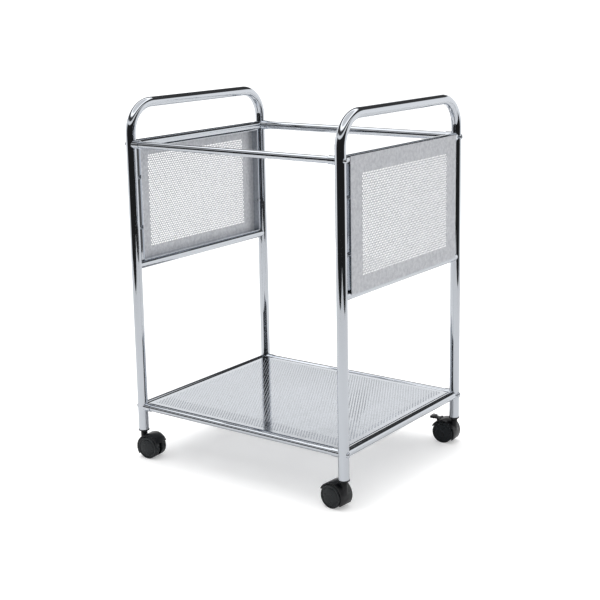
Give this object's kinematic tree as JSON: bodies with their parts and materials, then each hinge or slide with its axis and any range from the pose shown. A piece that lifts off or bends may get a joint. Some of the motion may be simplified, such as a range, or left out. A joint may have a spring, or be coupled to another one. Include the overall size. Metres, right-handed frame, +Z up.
{
  "type": "rolling file cart",
  "caption": "Open-top rolling file cart: chrome bent-tube end frames with perforated end panels, hanging-file rails, a low perforated shelf and twin-wheel casters.",
  "frame": {"origin": "on the floor, under the middle of the cart's bounding box", "axes": "+Z up, +X from the left end frame to the right one, +Y from the front rails to the back rails"},
  "size_m": [0.4836, 0.413, 0.6775],
  "materials": {
    "bolt_chrome": "chrome plate",
    "crossbar_chrome": "mirror chrome plate",
    "frame_chrome": "mirror chrome plate on bent steel tube",
    "housing_plastic": "black moulded nylon, lightly grained",
    "lever_plastic": "black moulded plastic",
    "panel_rim_chrome": "chrome plate on bent strip",
    "panel_sheet": "satin silver coat on perforated sheet steel",
    "pin_plastic": "black moulded pin",
    "plug_steel": "zinc-plated steel",
    "rail_chrome": "mirror chrome plate",
    "saddle_chrome": "chrome plate",
    "screw_steel": "zinc-plated steel",
    "shelf_chrome": "chrome plate on perforated sheet steel",
    "socket_plastic": "black moulded plastic",
    "spacer_chrome": "chrome plate",
    "stem_steel": "zinc-plated steel",
    "wheel_plastic": "dark grey moulded nylon"
  },
  "bodies": {
    "frame": {"back_left_caster_socket": "socket_plastic", "back_right_caster_socket": "socket_plastic", "back_shelf_rail": "rail_chrome", "back_top_rail": "rail_chrome", "front_left_caster_socket": "socket_plastic", "front_right_caster_socket": "socket_plastic", "front_shelf_rail": "rail_chrome", "front_top_rail": "rail_chrome", "left_end_frame_tube": "frame_chrome", "left_panel_crossbar": "crossbar_chrome", "left_panel_rim": "panel_rim_chrome", "left_panel_screws": "screw_steel", "left_panel_sheet": "panel_sheet", "left_panel_spacers": "spacer_chrome", "left_shelf_crossbar": "crossbar_chrome", "left_top_crossbar": "crossbar_chrome", "right_end_frame_tube": "frame_chrome", "right_panel_crossbar": "crossbar_chrome", "right_panel_rim": "panel_rim_chrome", "right_panel_screws": "screw_steel", "right_panel_sheet": "panel_sheet", "right_panel_spacers": "spacer_chrome", "right_shelf_crossbar": "crossbar_chrome", "right_top_crossbar": "crossbar_chrome", "shelf_rail_bolts": "bolt_chrome", "shelf_rail_plugs": "plug_steel", "shelf_rail_saddles": "saddle_chrome", "shelf_screws": "screw_steel", "shelf_tray": "shelf_chrome", "top_rail_bolts": "bolt_chrome", "top_rail_plugs": "plug_steel", "top_rail_saddles": "saddle_chrome"},
    "front_left_caster": {"front_left_caster_stem": "stem_steel", "front_left_caster_housing": "housing_plastic", "front_left_caster_axle": "stem_steel"},
    "front_left_inner_wheel": {"front_left_caster_inner_wheel": "wheel_plastic"},
    "front_left_outer_wheel": {"front_left_caster_outer_wheel": "wheel_plastic"},
    "front_right_caster": {"front_right_caster_stem": "stem_steel", "front_right_caster_housing": "housing_plastic", "front_right_caster_axle": "stem_steel"},
    "front_right_inner_wheel": {"front_right_caster_inner_wheel": "wheel_plastic"},
    "front_right_outer_wheel": {"front_right_caster_outer_wheel": "wheel_plastic"},
    "back_right_caster": {"back_right_caster_stem": "stem_steel", "back_right_caster_housing": "housing_plastic", "back_right_caster_axle": "stem_steel", "back_right_brake_pin": "pin_plastic"},
    "back_right_inner_wheel": {"back_right_caster_inner_wheel": "wheel_plastic"},
    "back_right_outer_wheel": {"back_right_caster_outer_wheel": "wheel_plastic"},
    "back_right_brake_lever": {"back_right_brake_lever": "lever_plastic"},
    "back_left_caster": {"back_left_caster_stem": "stem_steel", "back_left_caster_housing": "housing_plastic", "back_left_caster_axle": "stem_steel", "back_left_brake_pin": "pin_plastic"},
    "back_left_inner_wheel": {"back_left_caster_inner_wheel": "wheel_plastic"},
    "back_left_outer_wheel": {"back_left_caster_outer_wheel": "wheel_plastic"},
    "back_left_brake_lever": {"back_left_brake_lever": "lever_plastic"}
  },
  "joints": [
    {"name": "front_left_swivel", "type": "hinge", "parent": "frame", "child": "front_left_caster", "pos_m": [-0.23, -0.19, 0.05], "axis": [0, 0, 1], "continuous": true},
    {"name": "front_left_inner_wheel_spin", "type": "hinge", "parent": "front_left_caster", "child": "front_left_inner_wheel", "pos_m": [-0.21207, -0.18843, 0.021], "axis": [-0.0872, 0.9962, 0], "continuous": true},
    {"name": "front_left_outer_wheel_spin", "type": "hinge", "parent": "front_left_caster", "child": "front_left_outer_wheel", "pos_m": [-0.21207, -0.18843, 0.021], "axis": [-0.0872, 0.9962, 0], "continuous": true},
    {"name": "front_right_swivel", "type": "hinge", "parent": "frame", "child": "front_right_caster", "pos_m": [0.23, -0.19, 0.05], "axis": [0, 0, 1], "continuous": true},
    {"name": "front_right_inner_wheel_spin", "type": "hinge", "parent": "front_right_caster", "child": "front_right_inner_wheel", "pos_m": [0.21204, -0.18874, 0.021], "axis": [-0.0698, -0.9976, 0], "continuous": true},
    {"name": "front_right_outer_wheel_spin", "type": "hinge", "parent": "front_right_caster", "child": "front_right_outer_wheel", "pos_m": [0.21204, -0.18874, 0.021], "axis": [-0.0698, -0.9976, 0], "continuous": true},
    {"name": "back_right_swivel", "type": "hinge", "parent": "frame", "child": "back_right_caster", "pos_m": [0.23, 0.19, 0.05], "axis": [0, 0, 1], "continuous": true},
    {"name": "back_right_inner_wheel_spin", "type": "hinge", "parent": "back_right_caster", "child": "back_right_inner_wheel", "pos_m": [0.21207, 0.18843, 0.021], "axis": [0.0872, -0.9962, 0], "continuous": true},
    {"name": "back_right_outer_wheel_spin", "type": "hinge", "parent": "back_right_caster", "child": "back_right_outer_wheel", "pos_m": [0.21207, 0.18843, 0.021], "axis": [0.0872, -0.9962, 0], "continuous": true},
    {"name": "back_right_brake_press", "type": "hinge", "parent": "back_right_caster", "child": "back_right_brake_lever", "pos_m": [0.20061, 0.18743, 0.04263], "axis": [0.0872, -0.9962, 0], "range_deg": [0, 16]},
    {"name": "back_left_swivel", "type": "hinge", "parent": "frame", "child": "back_left_caster", "pos_m": [-0.23, 0.19, 0.05], "axis": [0, 0, 1], "continuous": true},
    {"name": "back_left_inner_wheel_spin", "type": "hinge", "parent": "back_left_caster", "child": "back_left_inner_wheel", "pos_m": [-0.21207, 0.18843, 0.021], "axis": [0.0872, 0.9962, 0], "continuous": true},
    {"name": "back_left_outer_wheel_spin", "type": "hinge", "parent": "back_left_caster", "child": "back_left_outer_wheel", "pos_m": [-0.21207, 0.18843, 0.021], "axis": [0.0872, 0.9962, 0], "continuous": true},
    {"name": "back_left_brake_press", "type": "hinge", "parent": "back_left_caster", "child": "back_left_brake_lever", "pos_m": [-0.20061, 0.18743, 0.04263], "axis": [0.0872, 0.9962, 0], "range_deg": [0, 16]}
  ]
}
